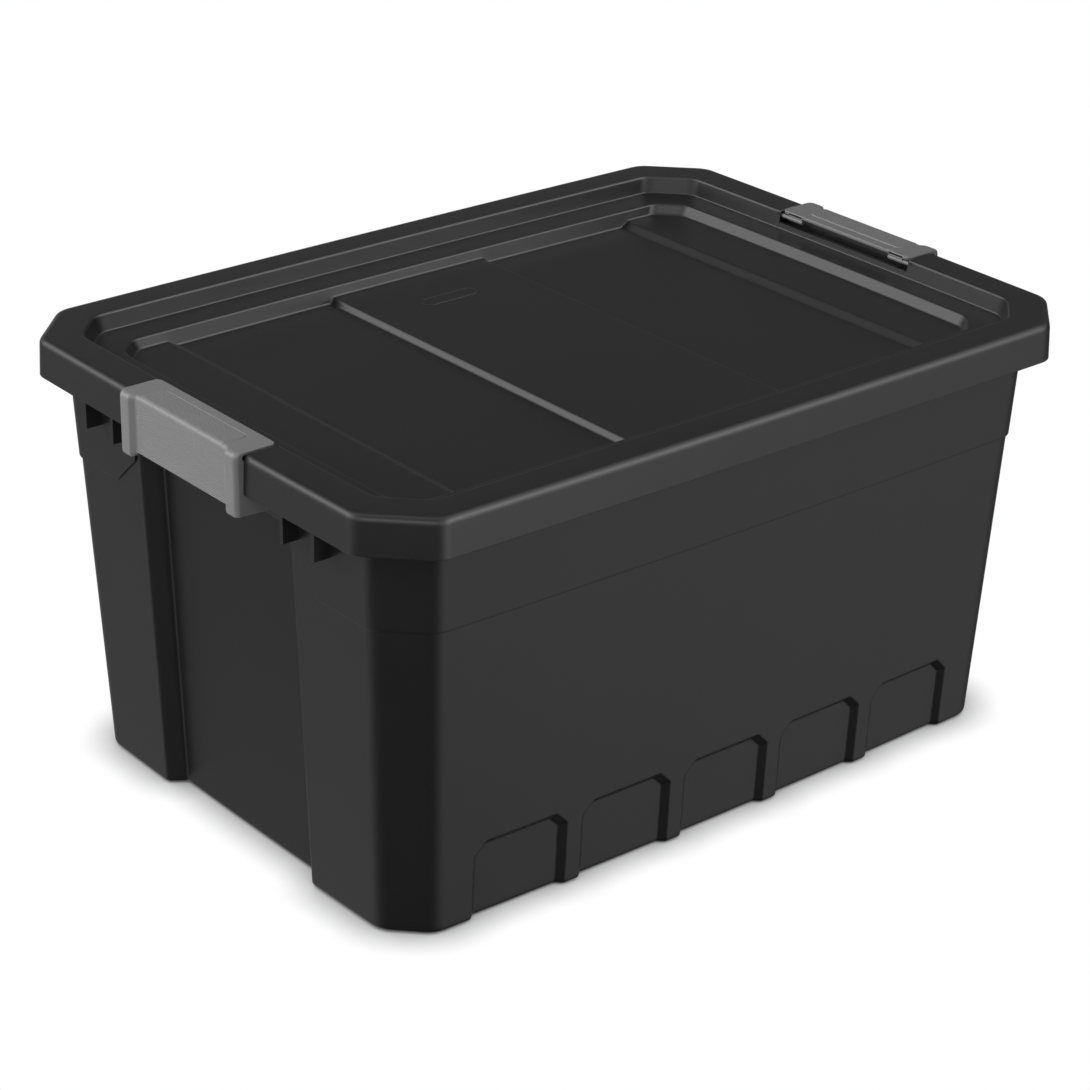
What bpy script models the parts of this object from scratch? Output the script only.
"""Stackable storage bin: a tub, a lid whose top nests the next bin, and a latch on each short end.

Millimetres are used for every dimension and turned into metres when a mesh is made.
X runs along the bin, Y across it, Z up. The bin stands on Z = 0 with its middle over the origin.
"""
import math

import bmesh
import bpy
from mathutils import Matrix, Vector

MM = 0.001

# Tub: outside size at the base and how fast the walls lean out with height.
BASE_HALF_LENGTH = 298.8
BASE_HALF_WIDTH = 203.2
BASE_CHAMFER = 28.0
END_LEAN = 0.0478
SIDE_LEAN = 0.0531
CHAMFER_LEAN = 0.0161
WALL = 2.4
FLOOR = 2.6
RIM_TOP = 342.7
SIDE_BOW_BASE = 6.0
SIDE_BOW_RIM = 3.0
END_BOW_BASE = 3.0
END_BOW_RIM = 2.0

# Tub rim: a flange turned down into a lip.
LIP_HALF_LENGTH = 330.3
LIP_HALF_WIDTH = 234.6
LIP_CHAMFER = 39.5
LIP_BOTTOM = 322.0

# Finger recess down the middle of each short end.
RECESS_DEPTH_BASE = 13.0
RECESS_DEPTH_TOP = 14.5
RECESS_OUTER_HALF = 95.5
RECESS_INNER_HALF = 86.5
RECESS_CEILING_LOW = 284.0
RECESS_CEILING_HIGH = 301.0

# Collar: a thicker band round the top of the tub, cut away beside each latch.
COLLAR_BOTTOM = 248.7
COLLAR_STEP = 1.7
COLLAR_CUT_LOW_HALF = 129.0
COLLAR_CUT_HIGH_HALF = 100.0
COLLAR_CUT_HIGH = 275.0

# Shallow panels along the bottom of each long side.
PANEL_COUNT = 5
PANEL_PITCH = 98.4
PANEL_HALF = 42.5
PANEL_HEIGHT = 65.0
PANEL_CORNER = 11.0
PANEL_DEPTH = 5.0

# Ribs under the rim, two each side of each latch.
RIB_PLACES = (107.5, 144.0)
RIB_THICKNESS = 3.4
RIB_BOTTOM = 289.0
RIB_REACH = 329.2

# Lid.
LID_HALF_LENGTH = 335.0
LID_HALF_WIDTH = 240.1
LID_CHAMFER = 42.2
LID_TOP = 345.5
SKIRT_BOTTOM = 318.1
SKIN = 2.5
LEDGE = 331.0
DECK = 322.5
TRAY = 318.0
LID_SIDE_BOW = 2.5
LID_END_BOW = 2.0
DECK_WALL_SLOPE_SIDE = 0.192
DECK_WALL_SLOPE_END = 0.46

# Latch and its pivot.
PIVOT_X = 309.0
PIVOT_Z = 341.2
LATCH_HALF = 74.0
LATCH_TOP = 347.3
LATCH_THICKNESS = 2.5
LATCH_INNER_X = 307.5
PANEL_FRONT_X = 339.2
LOBE_FRONT_X = 343.0
LOBE_INNER_HALF = 57.5
LATCH_PANEL_BOTTOM = 302.4
LOBE_BOTTOM = 298.0
NOTCH_HALF = 74.7
SLOT_BOTTOM = 336.0
PIN_RADIUS = 1.7
PIN_CLEARANCE = 0.1
BARREL_RADIUS = 2.3


def start_clean():
    for item in list(bpy.data.objects):
        bpy.data.objects.remove(item, do_unlink=True)


def new_collection(name):
    collection = bpy.data.collections.new(name)
    bpy.context.scene.collection.children.link(collection)
    return collection


def new_object(bm, name, collection):
    bmesh.ops.recalc_face_normals(bm, faces=bm.faces)
    mesh = bpy.data.meshes.new(name)
    bm.to_mesh(mesh)
    bm.free()
    made = bpy.data.objects.new(name, mesh)
    collection.objects.link(made)
    return made


def soft_outline(corners, reaches, steps, splits):
    """Closed outline with each corner eased over its reach and each side split evenly."""
    count = len(corners)
    points = []
    for index in range(count):
        corner = corners[index]
        back = (corners[index - 1] - corner).normalized()
        ahead = (corners[(index + 1) % count] - corner).normalized()
        start = corner + back * reaches[index]
        end = corner + ahead * reaches[index]
        for step in range(steps + 1):
            t = step / steps
            points.append(start * (1 - t) ** 2 + corner * (2 * t * (1 - t)) + end * t ** 2)
        following = corners[(index + 1) % count]
        next_start = following - ahead * reaches[(index + 1) % count]
        for split in range(1, splits[index]):
            points.append(end.lerp(next_start, split / splits[index]))
    return points


def bowed(points, half_length, half_width, side_bow, end_bow):
    """Push the long sides and the ends outwards in a shallow curve."""
    result = []
    for point in points:
        along = 1 - min(1.0, (point.x / half_length) ** 2)
        across = 1 - min(1.0, (point.y / half_width) ** 2)
        x = point.x * (1 + end_bow * across / half_length)
        y = point.y * (1 + side_bow * along / half_width)
        result.append(Vector((x, y)))
    return result


def tub_outline(half_length, half_width, chamfer, depth, outer_half, inner_half, side_bow, end_bow):
    """Plan outline of the tub at one height, with the recess of each short end."""
    quarter = [
        Vector((half_length - depth, inner_half)),
        Vector((half_length, outer_half)),
        Vector((half_length, half_width - chamfer)),
        Vector((half_length - chamfer, half_width)),
    ]
    upper_left = [Vector((-p.x, p.y)) for p in reversed(quarter)]
    lower = [Vector((-p.x, -p.y)) for p in quarter]
    lower_right = [Vector((p.x, -p.y)) for p in reversed(quarter)]
    corners = quarter + upper_left + lower + lower_right
    reaches = [3.0, 3.0, 9.0, 9.0, 9.0, 9.0, 3.0, 3.0] * 2
    splits = [1, 2, 1, 10, 1, 2, 1, 4] * 2
    points = soft_outline(corners, reaches, 3, splits)
    return bowed(points, half_length, half_width, side_bow, end_bow)


def lid_outline(half_length, half_width, chamfer, reach=8.0):
    """Plan outline of the lid at one height."""
    corners = [
        Vector((half_length, -half_width + chamfer)),
        Vector((half_length, half_width - chamfer)),
        Vector((half_length - chamfer, half_width)),
        Vector((-half_length + chamfer, half_width)),
        Vector((-half_length, half_width - chamfer)),
        Vector((-half_length, -half_width + chamfer)),
        Vector((-half_length + chamfer, -half_width)),
        Vector((half_length - chamfer, -half_width)),
    ]
    points = soft_outline(corners, [reach] * 8, 4, [8, 1, 12, 1] * 2)
    return bowed(points, half_length, half_width, LID_SIDE_BOW, LID_END_BOW)


def tub_wall(z, inset=0.0, recess_shift=0.0, recess=True):
    """Outline of the tub's wall at a height, set in from its outside face."""
    share = z / RIM_TOP
    low = RECESS_CEILING_LOW + recess_shift
    high = RECESS_CEILING_HIGH + recess_shift
    depth = RECESS_DEPTH_BASE + (RECESS_DEPTH_TOP - RECESS_DEPTH_BASE) * min(z, low) / low
    if z > low:
        depth *= max(0.0, (high - z) / (high - low))
    if not recess:
        depth = 0.0
    return tub_outline(
        BASE_HALF_LENGTH + END_LEAN * z - inset,
        BASE_HALF_WIDTH + SIDE_LEAN * z - inset,
        BASE_CHAMFER + CHAMFER_LEAN * z - 0.586 * inset,
        depth,
        RECESS_OUTER_HALF + 0.547 * inset,
        RECESS_INNER_HALF + 0.547 * inset,
        SIDE_BOW_BASE + (SIDE_BOW_RIM - SIDE_BOW_BASE) * share,
        END_BOW_BASE + (END_BOW_RIM - END_BOW_BASE) * share,
    )


def lip_ring(inset):
    """Outline of the turned-down lip, set in from its outside face."""
    return tub_outline(
        LIP_HALF_LENGTH - inset,
        LIP_HALF_WIDTH - inset,
        LIP_CHAMFER - 0.586 * inset,
        0.0,
        RECESS_OUTER_HALF,
        RECESS_INNER_HALF,
        LID_SIDE_BOW,
        LID_END_BOW,
    )


def lofted(rings, closed=False):
    """Skin a list of (outline, height) rings, capped at both ends or closed on itself."""
    bm = bmesh.new()
    loops = []
    for outline, z in rings:
        loops.append([bm.verts.new((p.x * MM, p.y * MM, z * MM)) for p in outline])
    pairs = list(zip(loops, loops[1:]))
    if closed:
        pairs.append((loops[-1], loops[0]))
    for lower, upper in pairs:
        count = len(lower)
        for index in range(count):
            after = (index + 1) % count
            bm.faces.new((lower[index], lower[after], upper[after], upper[index]))
    if not closed:
        bm.faces.new(loops[0])
        bm.faces.new(loops[-1])
    bmesh.ops.recalc_face_normals(bm, faces=bm.faces)
    return bm


def extruded(outline, low, high, axis):
    """Flat outline given thickness: axis X takes (y, z) points, Y takes (x, z) and Z takes (x, y)."""
    curve = bpy.data.curves.new("outline", "CURVE")
    curve.dimensions = "2D"
    curve.fill_mode = "BOTH"
    curve.extrude = (high - low) * 0.5 * MM
    spline = curve.splines.new("POLY")
    spline.points.add(len(outline) - 1)
    for point, (first, second) in zip(spline.points, outline):
        point.co = (first * MM, second * MM, 0.0, 1.0)
    spline.use_cyclic_u = True
    flat = bpy.data.objects.new("outline", curve)
    bpy.context.scene.collection.objects.link(flat)
    bpy.context.view_layer.update()
    graph = bpy.context.evaluated_depsgraph_get()
    mesh = bpy.data.meshes.new_from_object(flat.evaluated_get(graph))
    middle = (low + high) * 0.5 * MM
    if axis == "X":
        placing = Matrix(((0, 0, 1, middle), (1, 0, 0, 0), (0, 1, 0, 0), (0, 0, 0, 1)))
    elif axis == "Y":
        placing = Matrix(((1, 0, 0, 0), (0, 0, -1, middle), (0, 1, 0, 0), (0, 0, 0, 1)))
    else:
        placing = Matrix.Translation((0, 0, middle))
    mesh.transform(placing)
    bm = bmesh.new()
    bm.from_mesh(mesh)
    bmesh.ops.remove_doubles(bm, verts=bm.verts, dist=1e-6)
    bmesh.ops.recalc_face_normals(bm, faces=bm.faces)
    bpy.data.objects.remove(flat, do_unlink=True)
    bpy.data.curves.remove(curve)
    bpy.data.meshes.remove(mesh)
    return bm


def box(low, high):
    """Closed box between two corners."""
    bm = bmesh.new()
    bmesh.ops.create_cube(bm, size=1.0)
    low = Vector(low)
    high = Vector(high)
    size = (high - low) * MM
    middle = (high + low) * 0.5 * MM
    bmesh.ops.scale(bm, vec=size, verts=bm.verts)
    bmesh.ops.translate(bm, vec=middle, verts=bm.verts)
    return bm


def rod(x, z, radius, low, high, segments=24):
    """Round rod along Y."""
    bm = bmesh.new()
    middle = Vector((x, (low + high) * 0.5, z)) * MM
    bmesh.ops.create_cone(
        bm,
        cap_ends=True,
        segments=segments,
        radius1=radius * MM,
        radius2=radius * MM,
        depth=(high - low) * MM,
        matrix=Matrix.Translation(middle) @ Matrix.Rotation(math.pi / 2, 4, "X"),
    )
    return bm


def gathered(pieces):
    """Put several closed solids into one mesh."""
    whole = bmesh.new()
    for piece in pieces:
        mesh = bpy.data.meshes.new("gathered")
        piece.to_mesh(mesh)
        piece.free()
        whole.from_mesh(mesh)
        bpy.data.meshes.remove(mesh)
    return whole


def combine(target, tool_bm, name, operation, cutters):
    """Boolean a tool solid into the target and apply it."""
    tool = new_object(tool_bm, name, cutters)
    tool.hide_render = True
    tool.display_type = "WIRE"
    modifier = target.modifiers.new(name, "BOOLEAN")
    modifier.operation = operation
    modifier.solver = "EXACT"
    modifier.object = tool
    bpy.context.view_layer.update()
    graph = bpy.context.evaluated_depsgraph_get()
    result = bpy.data.meshes.new_from_object(target.evaluated_get(graph))
    target.modifiers.remove(modifier)
    old = target.data
    target.data = result
    bpy.data.meshes.remove(old)
    bm = bmesh.new()
    bm.from_mesh(target.data)
    bmesh.ops.remove_doubles(bm, verts=bm.verts, dist=1e-6)
    bmesh.ops.dissolve_degenerate(bm, edges=bm.edges, dist=1e-6)
    bm.to_mesh(target.data)
    bm.free()


def material(name, colour, roughness):
    made = bpy.data.materials.new(name)
    made.use_nodes = True
    shader = made.node_tree.nodes["Principled BSDF"]
    shader.inputs["Base Color"].default_value = (*colour, 1.0)
    shader.inputs["Roughness"].default_value = roughness
    made.diffuse_color = (*colour, 1.0)
    return made


def finished(made, own_material, origin):
    """Give the material, the smooth shading and the origin."""
    made.data.materials.clear()
    made.data.materials.append(own_material)
    offset = Vector(origin) * MM
    made.data.transform(Matrix.Translation(-offset))
    made.location = offset
    made.data.shade_smooth()
    made.data.set_sharp_from_angle(angle=math.radians(30))


def side_place(x, z, depth, centre, side):
    """Point at a depth inside the outer face of a long wall, on the plane at the panel's centre."""
    share = z / RIM_TOP
    half_width = BASE_HALF_WIDTH + SIDE_LEAN * z
    half_length = BASE_HALF_LENGTH + END_LEAN * z
    bow = SIDE_BOW_BASE + (SIDE_BOW_RIM - SIDE_BOW_BASE) * share
    at_centre = bow * (1 - (centre / half_length) ** 2)
    slope = -2 * bow * centre / half_length ** 2
    y = half_width + at_centre + slope * (x - centre) - depth
    return Vector((x, side * y, z)) * MM


def side_panel(centre, side, levels, bottom):
    """Solid of a bottom panel: an outline with cut top corners, lofted through depths."""
    bm = bmesh.new()
    loops = []
    for depth, half, top, corner in levels:
        outline = [
            (-half, bottom),
            (half, bottom),
            (half, top - corner),
            (half - corner, top),
            (-half + corner, top),
            (-half, top - corner),
        ]
        loops.append([bm.verts.new(side_place(centre + x, z, depth, centre, side)) for x, z in outline])
    for lower, upper in zip(loops, loops[1:]):
        for index in range(6):
            after = (index + 1) % 6
            bm.faces.new((lower[index], lower[after], upper[after], upper[index]))
    bm.faces.new(loops[0])
    bm.faces.new(loops[-1])
    bmesh.ops.recalc_face_normals(bm, faces=bm.faces)
    return bm


def rib(place, end):
    """Upright rib between the leaning end wall and the lip, under the rim."""
    wall_low = BASE_HALF_LENGTH + END_LEAN * RIB_BOTTOM + END_BOW_RIM * 0.6 - 1.0
    top = RIM_TOP - 1.2
    half = RIB_THICKNESS / 2
    span = sorted((end * wall_low, end * RIB_REACH))
    bm = box((span[0], place - half, RIB_BOTTOM), (span[1], place + half, top))
    for vert in bm.verts:
        if vert.co.z > (RIB_BOTTOM + 1.0) * MM and abs(vert.co.x) < (RIB_REACH - 1.0) * MM:
            vert.co.x += end * END_LEAN * (top - RIB_BOTTOM) * MM
    return bm


def build_tub(parts, cutters):
    rings = [
        (tub_wall(FLOOR, WALL + 6.0), FLOOR),
        (tub_wall(FLOOR + 1.6, WALL + 1.8), FLOOR + 1.6),
        (tub_wall(FLOOR + 6.0, WALL), FLOOR + 6.0),
        (tub_wall(RECESS_CEILING_LOW + 1.0, WALL, 1.0), RECESS_CEILING_LOW + 1.0),
        (tub_wall(RECESS_CEILING_HIGH + 1.0, WALL, 1.0), RECESS_CEILING_HIGH + 1.0),
        (tub_wall(RIM_TOP - 1.0, WALL), RIM_TOP - 1.0),
        (tub_wall(RIM_TOP, WALL - 1.0), RIM_TOP),
        (lip_ring(2.2), RIM_TOP),
        (lip_ring(0.65), RIM_TOP - 0.65),
        (lip_ring(0.0), RIM_TOP - 2.2),
        (lip_ring(0.0), LIP_BOTTOM),
        (lip_ring(WALL), LIP_BOTTOM),
        (lip_ring(WALL), RIM_TOP - WALL),
        (tub_wall(RIM_TOP - WALL), RIM_TOP - WALL),
        (tub_wall(RECESS_CEILING_HIGH), RECESS_CEILING_HIGH),
        (tub_wall(RECESS_CEILING_LOW), RECESS_CEILING_LOW),
        (tub_wall(4.5), 4.5),
        (tub_wall(1.3, 1.3), 1.3),
        (tub_wall(0.0, 4.2), 0.0),
    ]
    tub = new_object(lofted(rings), "tub", parts)

    backs = []
    recesses = []
    for side in (-1, 1):
        for number in range(PANEL_COUNT):
            centre = (number - (PANEL_COUNT - 1) / 2) * PANEL_PITCH
            half = PANEL_HALF
            back = PANEL_DEPTH + WALL
            backs.append(side_panel(centre, side, (
                (1.2, half + 1.0, PANEL_HEIGHT + 1.6, PANEL_CORNER),
                (back, half - 4.0, PANEL_HEIGHT - 3.0, PANEL_CORNER - 0.6),
            ), 1.4))
            recesses.append(side_panel(centre, side, (
                (-3.0, half + 3.0, PANEL_HEIGHT + 2.4, PANEL_CORNER + 1.0),
                (0.0, half, PANEL_HEIGHT, PANEL_CORNER),
                (PANEL_DEPTH, half - 5.2, PANEL_HEIGHT - 4.0, PANEL_CORNER - 1.6),
            ), -5.0))
    combine(tub, gathered(backs), "side_panel_backs", "UNION", cutters)
    combine(tub, gathered(recesses), "side_panels", "DIFFERENCE", cutters)

    band_top = RIM_TOP - 1.2
    band = new_object(lofted([
        (tub_wall(COLLAR_BOTTOM, 1.0, recess=False), COLLAR_BOTTOM),
        (tub_wall(COLLAR_BOTTOM, -COLLAR_STEP + 0.4, recess=False), COLLAR_BOTTOM),
        (tub_wall(COLLAR_BOTTOM + 0.5, -COLLAR_STEP, recess=False), COLLAR_BOTTOM + 0.5),
        (tub_wall(band_top, -COLLAR_STEP, recess=False), band_top),
        (tub_wall(band_top, 1.0, recess=False), band_top),
    ], closed=True), "collar_band", cutters)
    drop = COLLAR_CUT_HIGH - COLLAR_BOTTOM
    lean = (COLLAR_CUT_LOW_HALF - COLLAR_CUT_HIGH_HALF) / drop
    low_half = COLLAR_CUT_LOW_HALF + lean * 5.0
    combine(band, extruded([
        (-low_half, COLLAR_BOTTOM - 5.0),
        (low_half, COLLAR_BOTTOM - 5.0),
        (COLLAR_CUT_HIGH_HALF, COLLAR_CUT_HIGH),
        (COLLAR_CUT_HIGH_HALF, RECESS_CEILING_HIGH + 2.5),
        (-COLLAR_CUT_HIGH_HALF, RECESS_CEILING_HIGH + 2.5),
        (-COLLAR_CUT_HIGH_HALF, COLLAR_CUT_HIGH),
    ], -345.0, 345.0, "X"), "collar_cut", "DIFFERENCE", cutters)
    ready = bmesh.new()
    ready.from_mesh(band.data)
    bpy.data.objects.remove(band, do_unlink=True)
    combine(tub, ready, "collar", "UNION", cutters)

    ribs = []
    for end in (-1, 1):
        for place in RIB_PLACES:
            ribs.append(rib(place, end))
            ribs.append(rib(-place, end))
    combine(tub, gathered(ribs), "ribs", "UNION", cutters)
    return tub


def lid_ring(half_length, half_width, chamfer, z, reach=8.0):
    return (lid_outline(half_length, half_width, chamfer, reach), z)


def lower_trays(bm, level, drop, edges):
    """Split a flat cap at the tray edges and push the low trays down along the wall's slope."""
    for x in edges:
        for side in (-1, 1):
            faces = [f for f in bm.faces if all(abs(v.co.z - level * MM) < 1e-7 for v in f.verts)]
            around = set(faces)
            for face in faces:
                around.update(face.edges)
                around.update(face.verts)
            bmesh.ops.bisect_plane(
                bm,
                geom=list(around),
                dist=1e-7,
                plane_co=(side * x * MM, 0, 0),
                plane_no=(1, 0, 0),
            )
    low = (edges[1] - 0.05) * MM
    high = (edges[2] + 0.05) * MM
    for vert in bm.verts:
        if abs(vert.co.z - level * MM) < 1e-7 and low < abs(vert.co.x) < high:
            vert.co.z -= drop * MM
            vert.co.y -= math.copysign(DECK_WALL_SLOPE_SIDE * drop * MM, vert.co.y)


def build_lid(parts, cutters):
    rise = LEDGE - DECK
    deck_end = 279.5 - DECK_WALL_SLOPE_END * rise
    deck_side = 182.0 - DECK_WALL_SLOPE_SIDE * rise
    under_deck = DECK - SKIN
    under_ledge = LEDGE - SKIN
    under_top = LID_TOP - SKIN
    rings = [
        lid_ring(deck_end + 1.6, deck_side + 2.0, 17.5, under_deck, 6.0),
        lid_ring(281.6, 184.4, 18.0, under_ledge, 6.0),
        lid_ring(303.6, 210.4, 27.0, under_ledge),
        lid_ring(304.6, 211.4, 27.2, under_ledge + 1.0),
        lid_ring(307.9, 213.2, 27.5, under_top - 0.6),
        lid_ring(308.7, 214.0, 27.6, under_top),
        lid_ring(329.2, 234.3, 39.8, under_top),
        lid_ring(331.0, 236.1, 40.4, under_top - 0.7),
        lid_ring(331.7, 236.8, 40.6, under_top - 2.4),
        lid_ring(332.5, 237.6, 40.8, SKIRT_BOTTOM),
        lid_ring(335.0, 240.1, 42.2, SKIRT_BOTTOM),
        lid_ring(334.2, 239.3, 42.0, LID_TOP - 5.4),
        lid_ring(333.6, 238.7, 41.8, LID_TOP - 3.0),
        lid_ring(332.2, 237.3, 41.2, LID_TOP - 1.2),
        lid_ring(330.2, 235.3, 40.4, LID_TOP - 0.25),
        lid_ring(327.8, 232.9, 39.6, LID_TOP),
        lid_ring(307.4, 212.8, 28.5, LID_TOP),
        lid_ring(306.0, 211.4, 28.3, LID_TOP - 0.5),
        lid_ring(305.3, 210.7, 28.1, LID_TOP - 1.9),
        lid_ring(302.4, 208.9, 27.8, LEDGE + 0.7),
        lid_ring(301.6, 208.1, 27.6, LEDGE),
        lid_ring(280.4, 182.9, 18.0, LEDGE, 6.0),
        lid_ring(279.1, 181.8, 17.8, LEDGE - 0.6, 6.0),
        lid_ring(deck_end, deck_side, 17.5, DECK, 6.0),
    ]
    bm = lofted(rings)
    lower_trays(bm, DECK, DECK - TRAY, (75.5, 79.5, 225.5, 232.0))
    lower_trays(bm, under_deck, DECK - TRAY, (74.4, 78.4, 226.8, 233.2))
    lid = new_object(bm, "lid", parts)

    ears = []
    notches = []
    bores = []
    for end in (-1, 1):
        for low, high in ((NOTCH_HALF, NOTCH_HALF + 3.2), (-NOTCH_HALF - 3.2, -NOTCH_HALF)):
            inner = sorted((end * 305.6, end * 312.6))
            ears.append(box((inner[0], low, SLOT_BOTTOM + 0.4), (inner[1], high, LID_TOP - 1.3)))
        across = sorted((end * 298.0, end * 345.0))
        notches.append(box((across[0], -NOTCH_HALF, SLOT_BOTTOM), (across[1], NOTCH_HALF, LID_TOP + 5.0)))
        front = sorted((end * 325.0, end * 345.0))
        low_corner = (front[0], -NOTCH_HALF, SKIRT_BOTTOM - 5.0)
        notches.append(box(low_corner, (front[1], NOTCH_HALF, SLOT_BOTTOM + 2.0)))
        for low, high in ((NOTCH_HALF - 5.0, NOTCH_HALF + 5.0), (-NOTCH_HALF - 5.0, -NOTCH_HALF + 5.0)):
            bores.append(rod(end * PIVOT_X, PIVOT_Z, PIN_RADIUS + PIN_CLEARANCE, low, high))
    combine(lid, gathered(ears), "latch_ears", "UNION", cutters)
    for number, notch in enumerate(notches):
        combine(lid, notch, "latch_notch_%d" % number, "DIFFERENCE", cutters)
    combine(lid, gathered(bores), "pin_bores", "DIFFERENCE", cutters)

    pad = soft_outline([
        Vector((27.5, -7.5)),
        Vector((27.5, 7.5)),
        Vector((-27.5, 7.5)),
        Vector((-27.5, -7.5)),
    ], [6.5] * 4, 5, [1] * 4)
    placed = [(p.x, p.y + 130.0) for p in pad]
    combine(lid, extruded(placed, DECK - 0.8, DECK + 0.5, "Z"), "blank_label_pad", "UNION", cutters)
    return lid


def build_latch(parts, cutters):
    """Latch of the -X end, later copied to the other end."""
    top = LATCH_TOP
    thin = LATCH_THICKNESS
    inner = -LATCH_INNER_X
    front = -PANEL_FRONT_X
    shell = extruded([
        (inner, top - thin),
        (inner, top - 0.6),
        (inner - 0.6, top),
        (front + 4.0, top),
        (front + 1.2, top - 1.2),
        (front, top - 4.0),
        (front, LATCH_PANEL_BOTTOM),
        (front + thin, LATCH_PANEL_BOTTOM),
        (front + thin, top - thin - 2.0),
        (front + thin + 1.6, top - thin),
    ], -LATCH_HALF + 0.8, LATCH_HALF - 0.8, "Y")
    latch = new_object(shell, "latch_left", parts)

    extras = []
    proud = -LOBE_FRONT_X
    for side in (-1, 1):
        span = sorted((side * LOBE_INNER_HALF, side * LATCH_HALF))
        extras.append(extruded([
            (-322.0, top - 1.6),
            (-322.0, top - 0.05),
            (proud + 5.0, top - 0.05),
            (proud + 1.5, top - 1.5),
            (proud, top - 5.0),
            (proud, LOBE_BOTTOM + 7.0),
            (proud + 1.6, LOBE_BOTTOM + 2.4),
            (proud + 5.0, LOBE_BOTTOM),
            (proud + 7.5, LOBE_BOTTOM),
            (front + thin, LATCH_PANEL_BOTTOM - 0.4),
            (front + thin - 0.3, top - 4.2),
            (front + thin + 1.4, top - 1.6),
        ], span[0], span[1], "Y"))
        cheek = sorted((side * (LATCH_HALF - thin), side * LATCH_HALF))
        extras.append(extruded([
            (front - 1.0, top - 6.0),
            (front - 1.0, LOBE_BOTTOM + 0.3),
            (-318.0, LOBE_BOTTOM + 0.3),
            (-318.0, 310.5),
            (-328.0, 316.2),
            (-335.3, 325.0),
            (-335.3, top - 6.0),
        ], cheek[0], cheek[1], "Y"))
        grip = sorted((side * 46.0, side * (LATCH_HALF - 0.4)))
        extras.append(rod(-PIVOT_X, PIVOT_Z, BARREL_RADIUS, grip[0], grip[1]))
        web_low = (-PIVOT_X - 1.5, grip[0] + 0.3, PIVOT_Z)
        extras.append(box(web_low, (-PIVOT_X + 1.4, grip[1] - 0.3, top - 1.0)))
        pin = sorted((side * (LATCH_HALF - 4.0), side * (NOTCH_HALF + 2.9)))
        extras.append(rod(-PIVOT_X, PIVOT_Z, PIN_RADIUS, pin[0], pin[1]))
    extras.append(box((front + 1.0, -50.0, 315.0), (-328.6, 50.0, 317.6)))
    for number, extra in enumerate(extras):
        combine(latch, extra, "latch_piece_%02d" % number, "UNION", cutters)

    well = soft_outline([
        Vector((-316.6, -52.0)),
        Vector((-316.6, 52.0)),
        Vector((-350.0, 52.0)),
        Vector((-350.0, -52.0)),
    ], [3.5, 3.5, 1.0, 1.0], 4, [1] * 4)
    combine(latch, extruded(well, top - 0.6, top + 4.0, "Z"), "thumb_panel", "DIFFERENCE", cutters)
    return latch


start_clean()
bin_parts = new_collection("stackable_storage_bin")
bin_cutters = new_collection("cutters")

black = material("black_polypropylene", (0.022, 0.022, 0.023), 0.42)
lid_black = material("black_polypropylene_lid", (0.022, 0.022, 0.023), 0.40)
grey = material("grey_polypropylene", (0.19, 0.19, 0.19), 0.45)
grey_far = material("grey_polypropylene_far", (0.19, 0.19, 0.19), 0.45)

tub_part = build_tub(bin_parts, bin_cutters)
lid_part = build_lid(bin_parts, bin_cutters)
latch_part = build_latch(bin_parts, bin_cutters)
far_mesh = latch_part.data.copy()
far_mesh.transform(Matrix.Rotation(math.pi, 4, "Z"))
far_part = bpy.data.objects.new("latch_right", far_mesh)
bin_parts.objects.link(far_part)

finished(tub_part, black, (0, 0, 0))
finished(lid_part, lid_black, (0, 0, SKIRT_BOTTOM))
finished(latch_part, grey, (-PIVOT_X, 0, PIVOT_Z))
finished(far_part, grey_far, (PIVOT_X, 0, PIVOT_Z))

for tool in bin_cutters.objects:
    tool.hide_render = True
    tool.display_type = "WIRE"
